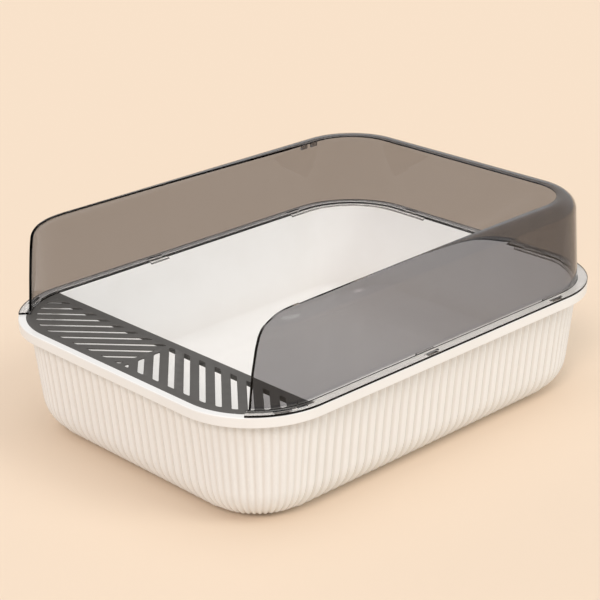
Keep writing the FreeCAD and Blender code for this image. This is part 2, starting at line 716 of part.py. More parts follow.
def build_slot_region():
    """Where the right half of the grate may be slotted."""
    body = new_body("SlotRegionBody")
    outline = new_sketch(body, "SlotRegion", offset="Sizes.rim_height - 2 * Sizes.grate_thickness")
    add_outline(outline, "Sizes.seat_inset + Sizes.slot_border")
    pad(body, "SlotRegionPad", outline, "3 * Sizes.grate_thickness")
    keep_front(body, "SlotRear", "2 * Sizes.rim_height", "2 * Sizes.rim_height",
               REAR_OF_GRATE + " - Sizes.slot_border")
    half = new_sketch(body, "CentreBar", offset="2 * Sizes.rim_height")
    add_rectangle(half, "-Sizes.tray_width", "Sizes.centre_bar / 2",
                  "-Sizes.tray_length", "Sizes.tray_length")
    pocket(body, "CentreBarCut", half, "2 * Sizes.rim_height")
    return body


def build_slot_bands():
    """Evenly spaced slanted bands, long enough to cross the right half of the grate."""
    body = new_body("SlotBandBody")
    body.AllowCompound = True
    sketch = new_sketch(body, "SlotBands", offset="Sizes.rim_height - 2 * Sizes.grate_thickness")
    angle = math.radians(size("slot_angle"))
    along = Vector(math.cos(angle), -math.sin(angle), 0)
    across = Vector(math.sin(angle), math.cos(angle), 0) * (size("slot_width") / 2)
    rear = size("grate_reach") - size("tray_length") / 2 - size("slot_border")
    for number in range(-int(size("short_slots")), int(size("long_slots"))):
        place = Vector(size("slot_start") + number * size("slot_pitch"), rear, 0)
        start = place - along * size("slot_pitch")
        end = place + along * (size("grate_reach") / math.sin(angle))
        add_chain(sketch, polygon([start - across, end - across, end + across, start + across]))
    pad(body, "SlotBandPad", sketch, "3 * Sizes.grate_thickness")
    return body


def build_slots():
    """Right fan of slots and its mirror image."""
    right = combine("Common", "RightSlots", build_slot_region(), build_slot_bands())
    left = doc.addObject("Part::Mirroring", "LeftSlots")
    left.Source = right
    left.Normal = Vector(1, 0, 0)
    doc.recompute()
    return combine("Fuse", "Slots", right, left)


def build_grate():
    body = new_body("GrateBody")
    outline = new_sketch(body, "GrateOutline", offset="Sizes.rim_height - Sizes.grate_clearance")
    add_outline(outline, "Sizes.seat_inset + Sizes.grate_clearance")
    pad(body, "GratePlate", outline, "Sizes.grate_thickness", reverse=True)
    keep_front(body, "GrateRear", "2 * Sizes.rim_height", "2 * Sizes.rim_height", REAR_OF_GRATE)
    edges = outer_edges(body.Shape, size("rim_height") - size("grate_clearance"))
    break_edges(body, "Chamfer", "GrateEdge", edges, "Sizes.grate_rounding")
    underside = "Sizes.rim_height - %s - Sizes.grate_rib_depth" % SEAT_DEPTH
    rib = new_sketch(body, "GrateRib", offset=underside)
    end = "(Sizes.tray_width / 2 - (%s) - Sizes.rib_gap)" % inner_inset(underside)
    add_rectangle(rib, "-1 * " + end, end, REAR_OF_GRATE + " - Sizes.grate_rib_thickness", REAR_OF_GRATE)
    pad(body, "RearRib", rib, "Sizes.grate_thickness / 2 + Sizes.grate_rib_depth")
    return combine("Cut", "litter_grate", body, build_slots())


def check_objects():
    """Stops the script when any object is in error."""
    for thing in doc.Objects:
        if "Invalid" in thing.State or "Error" in thing.State:
            raise RuntimeError("%s is in error: %s" % (thing.Name, thing.State))


def write_parts(pieces):
    os.makedirs("parts", exist_ok=True)
    for piece in pieces:
        piece.Label = piece.Name
        if piece.Shape.isNull() or not piece.Shape.isValid():
            raise RuntimeError(piece.Name + " has no valid shape")
        piece.Shape.exportStep("parts/%s.step" % piece.Name)


fill_sheet()
pieces = [build_basin(), build_shield(), build_grate()]
check_objects()
write_parts(pieces)
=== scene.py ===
"""Looks of a litter tray: a fluted white basin, a smoky clear splash shield and a slotted grate."""

import math

import bmesh
import bpy
from bpy.props import FloatProperty, FloatVectorProperty, IntProperty, PointerProperty
from mathutils import Matrix, Vector


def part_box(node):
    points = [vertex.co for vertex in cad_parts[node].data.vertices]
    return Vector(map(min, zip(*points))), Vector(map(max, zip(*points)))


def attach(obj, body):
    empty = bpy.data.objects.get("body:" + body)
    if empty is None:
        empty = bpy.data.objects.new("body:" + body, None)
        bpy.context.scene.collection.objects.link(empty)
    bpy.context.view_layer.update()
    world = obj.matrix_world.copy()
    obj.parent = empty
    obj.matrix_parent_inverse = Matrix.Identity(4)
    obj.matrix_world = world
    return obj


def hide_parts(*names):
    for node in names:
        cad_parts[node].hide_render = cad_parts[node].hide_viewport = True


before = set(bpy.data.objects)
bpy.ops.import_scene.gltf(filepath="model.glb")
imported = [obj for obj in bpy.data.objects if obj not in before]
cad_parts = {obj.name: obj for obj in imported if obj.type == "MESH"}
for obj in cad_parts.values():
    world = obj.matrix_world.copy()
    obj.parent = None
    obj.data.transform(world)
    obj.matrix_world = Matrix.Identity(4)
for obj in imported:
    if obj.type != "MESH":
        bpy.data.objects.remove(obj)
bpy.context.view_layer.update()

bl_info = {
    "name": "Litter tray",
    "version": (1, 0, 0),
    "blender": (4, 5, 0),
    "location": "View3D > Sidebar > Litter tray",
    "description": "Builds the basin, the splash shield and the grate of a litter tray, with a small studio",
    "category": "Object",
}

BASIN_LOW, BASIN_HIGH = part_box("tray_basin")
SHIELD_LOW, SHIELD_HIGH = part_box("splash_shield")
GRATE_LOW, GRATE_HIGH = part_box("litter_grate")

MM = 0.001
SIDES = (1, -1)
EDGE = 0.5 * MM
CUT = 5 * MM  # how far a cutting tool reaches past what it cuts


# Settings

def length(name, millimetres, description):
    """A size of the object, shown in the sidebar in millimetres or metres."""
    return FloatProperty(name=name, description=description, default=millimetres * MM,
                         min=0.0, unit="LENGTH", subtype="DISTANCE", precision=4)


def angle(name, degrees, description):
    return FloatProperty(name=name, description=description, default=math.radians(degrees),
                         unit="ROTATION", subtype="ANGLE")


def colour(name, red, green, blue, description):
    return FloatVectorProperty(name=name, description=description, default=(red, green, blue),
                               min=0.0, max=1.0, subtype="COLOR", size=3)


def whole(name, number, description):
    return IntProperty(name=name, description=description, default=number)


class BasinSettings(bpy.types.PropertyGroup):
    corner_radius: length("Corner radius", 86, "Rounding of the rim in plan")
    rim_thickness: length("Rim", 2.8, "Thickness of the flat rim")
    rim_rounding: length("Rim rounding", 1.1, "Rounding of the rim's edges")
    skirt_depth: length("Skirt depth", 10, "How far the rim's skirt hangs down")
    skirt_thickness: length("Skirt wall", 2.4, "Thickness of the skirt")
    wall_inset: length("Wall inset", 12, "Top of the wall, in from the rim's edge")
    wall_thickness: length("Wall", 2.6, "Thickness of the wall")
    wall_draft: angle("Wall draft", 5.9, "How far the wall leans outwards")
    base_radius: length("Base rounding", 42, "Rounding between the wall and the base")
    floor_height: length("Floor height", 3.6, "Top of the floor above the ground")
    foot_recess: length("Foot recess", 1, "How far the underside is lifted inside the foot band")
    foot_width: length("Foot band", 8, "Width of the band that the basin stands on")
    flute_depth: length("Flute depth", 2.4, "How far a flute swells out of the wall")
    flute_pitch: length("Flute pitch", 11, "Width of a flute on the straight walls")
    corner_flutes: whole("Corner flutes", 14, "Flutes round one corner")
    steps_per_flute: whole("Steps per flute", 8, "Faces across one flute")
    seat_inset: length("Seat inset", 7.8, "Grate recess, in from the rim's edge")
    seat_depth: length("Seat depth", 4.3, "Depth of the grate recess")
    seat_web: length("Seat web", 1.8, "Wall round and under the recess")
    slot_inset: length("Hook slot inset", 2.7, "Slots in the rim for the hooks")
    slot_width: length("Hook slot width", 4.2, "Slots in the rim for the hooks")
    slot_length: length("Hook slot length", 14.8, "Slots in the rim for the hooks")


class ShieldSettings(bpy.types.PropertyGroup):
    height: length("Shield height", 90.5, "Crown above the rim")
    wall: length("Wall", 2.2, "Thickness of the clear wall")
    lean: angle("Lean", 3.3, "How far the wall leans inwards")
    crown_radius: length("Curl radius", 15, "Outside of the curl at the top")
    crown_turn: angle("Curl", 103, "How far the curl turns")
    lip: length("Lip", 2.4, "Flat end of the curl")
    flange_width: length("Flange width", 10.4, "Flange that lies on the rim")
    flange_thickness: length("Flange", 2.2, "Thickness of the flange")
    seating: length("Seating", 0.06, "Air between the flange and the rim")
    arm_angle: angle("Flange end", 49.5, "Where the flange ends round the front corner")
    entrance_width: length("Entrance", 324, "Width between the two arms at the flange")
    lip_front: length("Lip at the front", 26.3, "Lip's edge at the front, in from the rim's edge")
    lip_rear: length("Lip at the rear", 35.2, "Lip's edge at the rear, in from the rim's edge")
    taper_end: length("Taper end", 150, "Where the lip's taper ends, along Y")
    hook_inset: length("Hook inset", 3.1, "Leg of a hook, in from the rim's edge")
    hook_thickness: length("Hook leg", 1.4, "Thickness of a hook's leg")
    hook_length: length("Hook length", 14, "Hook, along the rim")
    hook_depth: length("Hook depth", 7, "How far a hook reaches below the flange")
    hook_nose: length("Hook catch", 0.3, "Catch at the end of a hook")
    window_length: length("Window", 18, "Window in the flange above a hook")
    short_window: length("Short window", 10, "Short window beside some of the long ones")
    window_width: length("Window width", 2.6, "Window, across the flange")
    lug_depth: length("Lug depth", 0.9, "Locating lugs inside the basin")
    lug_thickness: length("Lug wall", 1.6, "Wall of a locating lug")
    tooth_length: length("Tooth", 9, "Tooth under the curl")
    tooth_gap: length("Tooth gap", 6, "Gap between the two teeth")
    tooth_depth: length("Tooth depth", 5, "How far a tooth hangs down")
    tooth_thickness: length("Tooth wall", 1.8, "Thickness of a tooth")
    tooth_place: length("Tooth place", 160, "Middle of the teeth, along Y")


class GrateSettings(bpy.types.PropertyGroup):
    reach: length("Reach", 85, "Rear edge of the grate, back from the front of the rim")
    inset: length("Inset", 8.1, "Grate's edge, in from the rim's edge")
    thickness: length("Thickness", 4, "Slotted plate")
    edge_rounding: length("Edge rounding", 0.6, "Rounding of the plate's edges")
    web: length("Web", 1.4, "Plate between the slots, thinner than its border")
    web_border: length("Web border", 2.6, "Full border round the thinner web")
    rib_thickness: length("Rib", 2.2, "Rib below the rear edge")
    rib_lift: length("Rib lift", 1.3, "How far the rib ends above the grate's lowest edge")
    slot_width: length("Slot width", 5.6, "Width of a slot")
    slot_pitch: length("Slot pitch", 21.8, "Slot spacing along the grate")
    slot_start: length("First slot", 5, "Rear end of the first long slot, out from the middle")
    slot_angle: angle("Slot slant", 40.8, "Slant of the slots")
    slot_border: length("Border", 9.8, "Plain border round the slots")
    slot_rounding: length("Slot rounding", 2.2, "Rounding of a slot's corners")
    centre_bar: length("Centre bar", 6, "Plain bar between the two fans of slots")
    long_slots: whole("Long slots", 9, "Slots on a side that start at the rear")
    short_slots: whole("Short slots", 3, "Slots on a side that start at the bar")


class FinishSettings(bpy.types.PropertyGroup):
    basin: colour("Basin", 0.895, 0.885, 0.87, "White plastic of the basin")
    basin_shade: colour("Basin shade", 0.88, 0.868, 0.85, "Its slightly duller patches")
    # Painted shade: a darker colour painted into concave places, as between the flutes.
    basin_painted_shade: colour("Basin painted shade", 0.81, 0.778, 0.742, "Duller tint in its hollows, as between flutes")
    shield: colour("Shield", 0.34, 0.334, 0.343, "Tint of the clear wall")
    # Painted shade: near-black colour painted on the shield's marked edges and where it is seen along the
    # wall.
    shield_edge_painted_shade: colour("Shield edge", 0.0004, 0.0004, 0.0004, "Its cut ends, seen along the wall")
    flange: colour("Flange", 0.78, 0.77, 0.76, "Tint of the flange and its hooks, which are thinner")
    shadow: colour("Shield shadow", 0.96, 0.955, 0.95, "Light that the shield lets through")
    grate: colour("Grate", 0.082, 0.077, 0.071, "Dark grey plastic of the grate")
    grate_worn: colour("Grate worn", 0.15, 0.143, 0.134, "The same, rubbed along its edges")
    floor: colour("Floor", 0.854, 0.699, 0.551, "Pale floor and backdrop")
    floor_bounce: colour("Floor bounce", 0.80, 0.70, 0.59, "Light that the floor throws back on the tray")


# Places on the rim

def corner_centre(side_x, side_y):
    """Centre of a rim corner; the sides are -1 or 1."""
    radius = bpy.context.scene.tray_basin.corner_radius
    return Vector((side_x * (BASIN_HIGH[0] - radius), side_y * (BASIN_HIGH[1] - radius), 0.0))


CORNER_HOOK = math.radians(26)
MIDDLE_HOOKS = {1: -24.4 * MM, -1: -45 * MM}
REAR_HOOK = 159.5 * MM
BACK_HOOK = 92 * MM
CORNER_WINDOW_GAP = 7 * MM
BACK_WINDOW_GAP = 2 * MM


def hook_places():
    """Points on the rim's edge with their outward directions, round both sides and the back."""
    radius = bpy.context.scene.tray_basin.corner_radius
    places = []
    for side in SIDES:
        outward = Vector((side * math.cos(CORNER_HOOK), -math.sin(CORNER_HOOK), 0.0))
        places.append((corner_centre(side, -1) + outward * radius, outward))
        for along in (MIDDLE_HOOKS[side], REAR_HOOK):
            places.append((Vector((side * BASIN_HIGH[0], along, 0.0)), Vector((side, 0, 0))))
        places.append((Vector((side * BACK_HOOK, BASIN_HIGH[1], 0.0)), Vector((0, 1, 0))))
    return places


def short_window_places():
    """The right front and the right back hook have a short window beside the long one."""
    shield = bpy.context.scene.splash_shield
    radius = bpy.context.scene.tray_basin.corner_radius
    shift = (shield.window_length + shield.short_window) / 2
    turn = CORNER_HOOK - (shift + CORNER_WINDOW_GAP) / radius
    outward = Vector((math.cos(turn), -math.sin(turn), 0.0))
    back = Vector((BACK_HOOK - shift - BACK_WINDOW_GAP, BASIN_HIGH[1], 0.0))
    return [(corner_centre(1, -1) + outward * radius, outward), (back, Vector((0, 1, 0)))]


# Modelling helpers

def deselect():
    if bpy.context.object and bpy.context.object.mode != "OBJECT":
        bpy.ops.object.mode_set(mode="OBJECT")
    bpy.ops.object.select_all(action="DESELECT")


def activate(piece):
    deselect()
    piece.select_set(True)
    bpy.context.view_layer.objects.active = piece


def bake_place():
    """Puts the active piece's place, turn and scale into its mesh."""
    bpy.ops.object.transform_apply(location=True, rotation=True, scale=True)


def apply_modifier(piece, kind, **settings):
    """Adds a modifier with its settings to a piece and applies it."""
    activate(piece)
    modifier = piece.modifiers.new(kind.title(), kind)
    for key, value in settings.items():
        setattr(modifier, key, value)
    bpy.ops.object.modifier_apply(modifier=modifier.name)


def start_edit(piece, kind="VERT"):
    """Opens a piece in edit mode with all of its vertices, edges or faces selected."""
    activate(piece)
    bpy.ops.object.mode_set(mode="EDIT")
    bpy.ops.mesh.select_mode(type=kind)
    bpy.ops.mesh.select_all(action="SELECT")


def end_edit():
    bpy.ops.object.mode_set(mode="OBJECT")


def select_in_edit(piece, kind, test):
    """Selects the faces, edges or vertices of the piece in edit mode that pass a test."""
    mesh = bmesh.from_edit_mesh(piece.data)
    for item in (*mesh.faces, *mesh.edges, *mesh.verts):
        item.select_set(False)
    for item in getattr(mesh, kind):
        if test(item):
            item.select_set(True)
    bmesh.update_edit_mesh(piece.data)


def rounded_sheet(name, inset, height, corner_steps, columns, steps):
    """A flat face with the rim's rounded outline, an even distance inside its edge.

    Its straight edges along X and Y are divided into columns, and each column into steps.
    """
    radius = bpy.context.scene.tray_basin.corner_radius
    deselect()
    bpy.ops.mesh.primitive_plane_add(size=1, location=(0, 0, height))
    piece = bpy.context.object
    piece.name = name
    piece.scale = (2 * BASIN_HIGH[0], 2 * BASIN_HIGH[1], 1)
    bake_place()
    start_edit(piece)
    bpy.ops.mesh.bevel(offset=radius, segments=corner_steps, affect="VERTICES", profile=0.5)
    bpy.ops.mesh.select_mode(type="EDGE")
    bpy.ops.mesh.select_all(action="SELECT")
    bpy.ops.mesh.delete(type="ONLY_FACE")
    for axis, count in enumerate(columns):
        select_in_edit(piece, "edges", lambda edge: is_straight(edge, axis, radius))
        for parts in (count, steps):
            if parts > 1:
                bpy.ops.mesh.subdivide(number_cuts=parts - 1)
    bpy.ops.mesh.select_all(action="SELECT")
    bpy.ops.mesh.edge_face_add()
    bpy.ops.mesh.select_mode(type="FACE")
    bpy.ops.mesh.select_all(action="SELECT")
    if inset > 0:
        bpy.ops.mesh.inset(thickness=inset, depth=0)
        bpy.ops.mesh.select_all(action="INVERT")
        bpy.ops.mesh.delete(type="FACE")
        bpy.ops.mesh.select_all(action="SELECT")
    return piece


def is_straight(edge, axis, shortest):
    """True for an uncut edge that runs along X (0) or Y (1)."""
    run = edge.verts[1].co - edge.verts[0].co
    return abs(run[axis]) > shortest and abs(run[1 - axis]) < 1e-6


def follow(piece, path, closed=False):
    """Draws the selected face along a path of inset and height, so that it leaves a wall behind it.

    A wall that starts upright keeps its first face only when a closed block is wanted.
    """
    steps = zip(path, path[1:])
    for number, ((inset, height), (next_inset, next_height)) in enumerate(steps):
        if next_inset - inset > 1e-7:
            bpy.ops.mesh.inset(thickness=next_inset - inset, depth=0, use_even_offset=True)
            bpy.ops.transform.translate(value=(0, 0, next_height - height))
        else:
            bpy.ops.mesh.extrude_region_move(TRANSFORM_OT_translate={"value": (0, 0, next_height - height)})
            if number == 0 and not closed:
                select_in_edit(piece, "faces", lambda face: lies_at(face, height, 1e-6))
                bpy.ops.mesh.delete(type="ONLY_FACE")
                select_in_edit(piece, "faces", lambda face: lies_at(face, next_height, 1e-6))


def lies_at(item, height, distance=1e-5):
    """True for an edge or face whose corners all lie at a height."""
    return all(abs(vertex.co.z - height) < distance for vertex in item.verts)


def is_sharp(edge, degrees):
    """True for an edge between two faces that meet at more than an angle."""
    return edge.is_manifold and edge.calc_face_angle() > math.radians(degrees)


def drawn_shell(name, path, corner_steps, columns=(1, 1), steps=1, inset=0,
                closed=False, open_end=False):
    """A wall with the rim's outline, drawn along a path of inset and height."""
    piece = rounded_sheet(name, inset, path[0][1], corner_steps, columns, steps)
    follow(piece, path, closed)
    if open_end:
        bpy.ops.mesh.delete(type="FACE")
    end_edit()
    return piece


def outlined_block(name, inset, low, high, corner_steps=48):
    """A solid block with the rim's rounded outline between two heights."""
    piece = drawn_shell(name, [(0, low), (0, high)], corner_steps, inset=inset, closed=True)
    close_up(piece)
    return piece


def arc(centre, radius, start, end, steps):
    """Points of inset and height on an arc; an angle of 0 points outwards and a right angle up."""
    turns = [start + (end - start) * number / steps for number in range(steps + 1)]
    return [(centre[0] - radius * math.cos(turn), centre[1] + radius * math.sin(turn)) for turn in turns]


def between(start, end, parts):
    """Points that divide the way from start to end into parts, without both ends."""
    return [tuple(first + (last - first) * (number / parts) for first, last in zip(start, end))
            for number in range(1, parts)]


def close_up(piece, distance=2e-6):
    """Merges doubled points and makes the faces point outwards."""
    start_edit(piece)
    bpy.ops.mesh.remove_doubles(threshold=distance)
    bpy.ops.mesh.normals_make_consistent(inside=False)
    end_edit()


def join(target, others):
    activate(target)
    for other in others:
        other.select_set(True)
    bpy.ops.object.join()


def combine(target, tool, operation="DIFFERENCE"):
    """Cuts a tool from a piece or adds it to the piece, and removes the tool."""
    apply_modifier(target, "BOOLEAN", operation=operation, solver="MANIFOLD", object=tool)
    bpy.data.objects.remove(tool)


def block(name, centre, size, turn=0.0):
    """A box with its place in its mesh, turned about the vertical."""
    deselect()
    bpy.ops.mesh.primitive_cube_add(size=1, location=centre, rotation=(0, 0, turn))
    piece = bpy.context.object
    piece.name = name
    piece.scale = size
    bake_place()
    return piece


def blocks_at(name, places, inset_start, inset_end, length_along, low, high):
    """One mesh of boxes that stand at places on the rim, between two insets and two heights."""
    boxes = []
    for point, outward in places:
        centre = point - outward * (inset_start + inset_end) / 2
        centre.z = (low + high) / 2
        size = (inset_end - inset_start, length_along, high - low)
        boxes.append(block(name, centre, size, math.atan2(outward.y, outward.x)))
    join(boxes[0], boxes[1:])
    return boxes[0]


def keep_in_front(piece, edge):
    """Cuts away what lies behind a line across the tray and closes the cut."""
    start_edit(piece)
    bpy.ops.mesh.bisect(plane_co=(0, edge, 0), plane_no=(0, 1, 0), use_fill=True, clear_outer=True)
    end_edit()


def finish_piece(piece, body, node, material, smooth_angle=35):
    """Shades a piece, gives it its material and ties it to the CAD part that it stands for."""
    activate(piece)
    bpy.ops.object.shade_smooth_by_angle(angle=math.radians(smooth_angle))
    apply_modifier(piece, "WEIGHTED_NORMAL", keep_sharp=True)
    piece.data.materials.clear()
    piece.data.materials.append(material)
    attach(piece, body)
    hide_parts(node)


# Basin

SEAT_GAP = 0.3 * MM
CREASE = math.radians(11)  # turn of the inside at the start of its base rounding
FOOT_SLOPE = 0.6 * MM
FLUTE_FADE = 0.12  # share of the base rounding over which the flutes run out


def wall_run(basin, top, draft_inset):
    """Inset of the leaning wall at a height below its top."""
    return lambda height: draft_inset + math.tan(basin.wall_draft) * (top - height)


def wall_rows(wall, start, end, rows):
    """Points down the leaning wall between two heights, without the first."""
    heights = [start + (end - start) * number / rows for number in range(1, rows + 1)]
    return [(wall(height), height) for height in heights]


def outer_path(basin, height):
    """Outside of the basin from the rim's edge down: skirt, wall, base rounding and foot."""
    top = height - basin.rim_thickness
    skirt_end = height - basin.skirt_depth
    wall = wall_run(basin, top, basin.wall_inset)
    radius = basin.base_radius
    turn_height = radius * (1 - math.sin(basin.wall_draft))
    centre = (wall(turn_height) + radius * math.cos(basin.wall_draft), radius)
    path = [(0.0, height - basin.rim_rounding), (0.0, skirt_end + EDGE)]
    path += arc((EDGE, skirt_end + EDGE), EDGE, -0.3, -math.pi / 2, 3)
    path += arc((basin.skirt_thickness - EDGE, skirt_end + EDGE), EDGE, -math.pi / 2, -math.pi, 3)
    path += [(basin.skirt_thickness, top), (basin.wall_inset - 1.5 * MM, top), (wall(top), top)]
    path += wall_rows(wall, top, turn_height, 9)
    path += arc(centre, radius, -basin.wall_draft, -math.pi / 2, 14)[1:]
    foot = path[-1][0] + basin.foot_width
    path += [(foot, 0.0), (foot + FOOT_SLOPE, basin.foot_recess)]
    return path


def inner_path(basin, height):
    """Inside of the basin from the rim's edge: rounded rim, wall, crease, rounding and floor."""
    top = height - basin.rim_thickness
    rounding = basin.rim_rounding
    wall = wall_run(basin, top, basin.wall_inset + basin.wall_thickness)
    mouth = wall(height)
    path = arc((rounding, height - rounding), rounding, 0, math.pi / 2, 4)
    path += [(mouth - rounding, height)]
    path += arc((mouth - rounding, height - rounding), rounding, math.pi / 2, math.pi, 4)[1:]
    radius = basin.base_radius - basin.wall_thickness
    crease = basin.wall_draft + CREASE
    centre_height = basin.floor_height + radius
    path += wall_rows(wall, height - rounding, centre_height - radius * math.sin(crease), 4)
    centre = (path[-1][0] + radius * math.cos(crease), centre_height)
    path += arc(centre, radius, -crease, -math.pi / 2, 16)[1:]
    return path


def flute_place(basin, point):
    """How far in from the rim's edge a point lies, its share across its flute and the flute's width."""
    radius = basin.corner_radius
    flat_x, flat_y = BASIN_HIGH[0] - radius, BASIN_HIGH[1] - radius
    over_x, over_y = abs(point.x) - flat_x, abs(point.y) - flat_y
    if over_x > 0 and over_y > 0:
        step = math.pi / 2 / basin.corner_flutes
        place = math.atan2(over_y, over_x) / step
        out = math.hypot(over_x, over_y)
        width = out * step
    else:
        along, flat, out = (point.y, flat_y, over_x) if over_x > over_y else (point.x, flat_x, over_y)
        count = round(2 * flat / basin.flute_pitch)
        place = (along + flat) / (2 * flat) * count
        width = 2 * flat / count
    return radius - out, place - math.floor(place + 1e-4), width


def swell_flutes(piece, basin, height, first_outside):
    """Swells the outer wall between each two grooves, and fades the flutes out round the base."""
    top = height - basin.rim_thickness
    group = piece.vertex_groups.new(name="Flutes")
    for vertex in piece.data.vertices[first_outside:]:
        spot = vertex.co
        inset, share, width = flute_place(basin, spot)
        crest = 0.5 - 0.5 * math.cos(2 * math.pi * share)
        fade = min(1.0, spot.z / (FLUTE_FADE * basin.base_radius))
        strength = crest * fade * min(1.0, width / basin.flute_pitch)
        if inset >= basin.wall_inset - 0.1 * MM and spot.z < top + 1e-6 and strength > 0.001:
            group.add([vertex.index], strength, "REPLACE")
    apply_modifier(piece, "DISPLACE", vertex_group="Flutes", direction="NORMAL", mid_level=0.0,
                   strength=basin.flute_depth)


def build_basin():
    """Basin: two walls drawn from one outline at the rim, fluted, with the grate's recess."""
    basin = bpy.context.scene.tray_basin
    height = BASIN_HIGH[2]
    steps = basin.steps_per_flute
    corner_steps = basin.corner_flutes * steps
    flutes = [round(2 * (BASIN_HIGH[axis] - basin.corner_radius) / basin.flute_pitch) for axis in (0, 1)]
    inside = drawn_shell("basin", inner_path(basin, height), corner_steps, flutes, steps)
    first_outside = len(inside.data.vertices)
    outside = drawn_shell("basin_outside", outer_path(basin, height), corner_steps, flutes, steps)
    close_up(outside)
    join(inside, [outside])
    swell_flutes(inside, basin, height, first_outside)
    close_up(inside)

    rear = BASIN_LOW[1] + bpy.context.scene.litter_grate.reach + SEAT_GAP
    floor = height - basin.seat_depth
    drop = floor - basin.seat_web
    seat = outlined_block("seat", basin.seat_inset - basin.seat_web, drop, height - 2 * MM)
    keep_in_front(seat, rear + basin.seat_web)
    middle = basin.wall_inset + basin.wall_thickness / 2
    combine(seat, outlined_block("seat_room", middle, drop - CUT, height + CUT))
    combine(inside, seat, "UNION")
    recess = outlined_block("recess", basin.seat_inset, floor, height + CUT)
    keep_in_front(recess, rear)
    combine(inside, recess)
    round_recess(inside, basin, height)
    slots = blocks_at("hook_slots", hook_places(), basin.slot_inset, basin.slot_inset + basin.slot_width,
                      basin.slot_length, height - 2 * basin.rim_thickness + 0.6 * MM, height + MM)
    combine(inside, slots)
    return inside


def round_recess(piece, basin, height):
    """Rounds the rim's edge round the grate's recess."""
    start_edit(piece, "EDGE")
    select_in_edit(piece, "edges", lambda edge: is_sharp(edge, 70) and lies_at(edge, height)
                   and all(flute_place(basin, vertex.co)[0] < basin.wall_inset for vertex in edge.verts))
    bpy.ops.mesh.bevel(offset=EDGE, segments=3, affect="EDGES")
    end_edit()


# Shield

CURL_STEPS = 18
WALL_ROWS = 6
LIP_ROUNDING = 0.6 * MM
# The arms' free edges: share of the entrance's width at a share of the shield's height
ARM_EDGE = ((1.0, 0.02), (1.006, 0.38), (1.016, 0.64), (1.024, 0.76), (1.034, 0.84), (1.046, 0.91),
            (1.056, 1.2))
LUG_INSET = 15.2 * MM
LUG_FROM_MIDDLE = 66 * MM
REAR_LUGS_FROM = 150 * MM
SIDE_LUG_HALF = 12 * MM
# Share of painted shade on the walls of the flange's windows
WINDOW_PAINTED_SHADE = 0.6


def shield_paths(shield, base):
    """Outside and inside of the shield's section, both from the flange's lower edge."""
    centre_up = shield.height - shield.crown_radius
    centre_in = (shield.flange_width + math.tan(shield.lean) * (centre_up - shield.flange_thickness)
                 + shield.crown_radius / math.cos(shield.lean))
    centre = (centre_in, base + centre_up)
    along = (math.sin(shield.crown_turn), math.cos(shield.crown_turn))
    straight = shield.lip - LIP_ROUNDING

    foot_top = base + shield.flange_thickness
    foot = (shield.flange_width + 0.1 * MM, foot_top + EDGE)
    curl = arc(centre, shield.crown_radius, shield.lean, shield.crown_turn, CURL_STEPS)
    outer = [(0.0, base + EDGE), (0.0, foot_top - EDGE)]
    outer += arc((EDGE, foot_top - EDGE), EDGE, 0, math.pi / 2, 3)[1:]
    outer += [(shield.flange_width - EDGE, foot_top), foot]
    outer += between(foot, curl[0], WALL_ROWS) + curl
    outer += lip_end(curl[-1], along, (along[1], -along[0]), straight)

    curl = arc(centre, shield.crown_radius - shield.wall, shield.lean, shield.crown_turn, CURL_STEPS)
    foot = shield.flange_width - math.tan(shield.lean) * shield.flange_thickness
    foot += shield.wall / math.cos(shield.lean)
    inner = [(0.0, base + EDGE), (EDGE, base), (foot, base), (foot + 0.05 * MM, base + 0.9 * MM)]
    inner += between((foot, base), curl[0], WALL_ROWS) + curl
    inner += lip_end(curl[-1], along, (-along[1], along[0]), straight)
    return outer, inner


def lip_end(start, along, across, straight):
    """Points that end the lip with a small rounding towards the middle of its wall."""
    points = [(start[0] + along[0] * straight, start[1] + along[1] * straight)]
    for turn in (0.5, 1.0, 1.5):
        forward = straight + LIP_ROUNDING * math.sin(turn)
        side = LIP_ROUNDING * (1 - math.cos(turn))
        points.append(tuple(start[axis] + along[axis] * forward + across[axis] * side for axis in (0, 1)))
    return points


def close_lip(piece, height):
    """Bridges the two open loops at the lip's end."""
    start_edit(piece, "EDGE")
    select_in_edit(piece, "edges", lambda edge: edge.is_boundary and edge.verts[0].co.z > height)
    bpy.ops.mesh.bridge_edge_loops()
    end_edit()


def cut_entrance(piece, shield, base):
    """Opens the front: a bent cut between the arms and a radial end of each flange."""
    room = 0.3
    front = corner_centre(1, -1).y
    low = base + shield.flange_thickness
    wedge = block("entrance_room", (0, front - room / 2, low + shield.height / 2),
                  (shield.entrance_width, room, shield.height))
    start_edit(wedge, "FACE")
    select_in_edit(wedge, "faces", lambda face: face.normal.z > 0.5)
    bpy.ops.transform.translate(value=(0, 0, ARM_EDGE[0][1] * shield.height - shield.height))
    for (share, up), (next_share, next_up) in zip(ARM_EDGE, ARM_EDGE[1:]):
        rise = (next_up - up) * shield.height
        bpy.ops.mesh.extrude_region_move(TRANSFORM_OT_translate={"value": (0, 0, rise)})
        bpy.ops.transform.resize(value=(next_share / share, 1, 1), center_override=(0, 0, 0))
    end_edit()
    combine(piece, wedge)
    reach = 0.2
    turn = shield.arm_angle
    for side in SIDES:
        forward = Vector((-side * math.sin(turn), -math.cos(turn), 0))
        centre = corner_centre(side, -1) + forward * reach / 2
        centre.z = base + shield.height / 2
        angle_z = math.atan2(-math.sin(turn), side * math.cos(turn))
        combine(piece, block("flange_room", centre, (reach, reach, 2 * shield.height), angle_z))


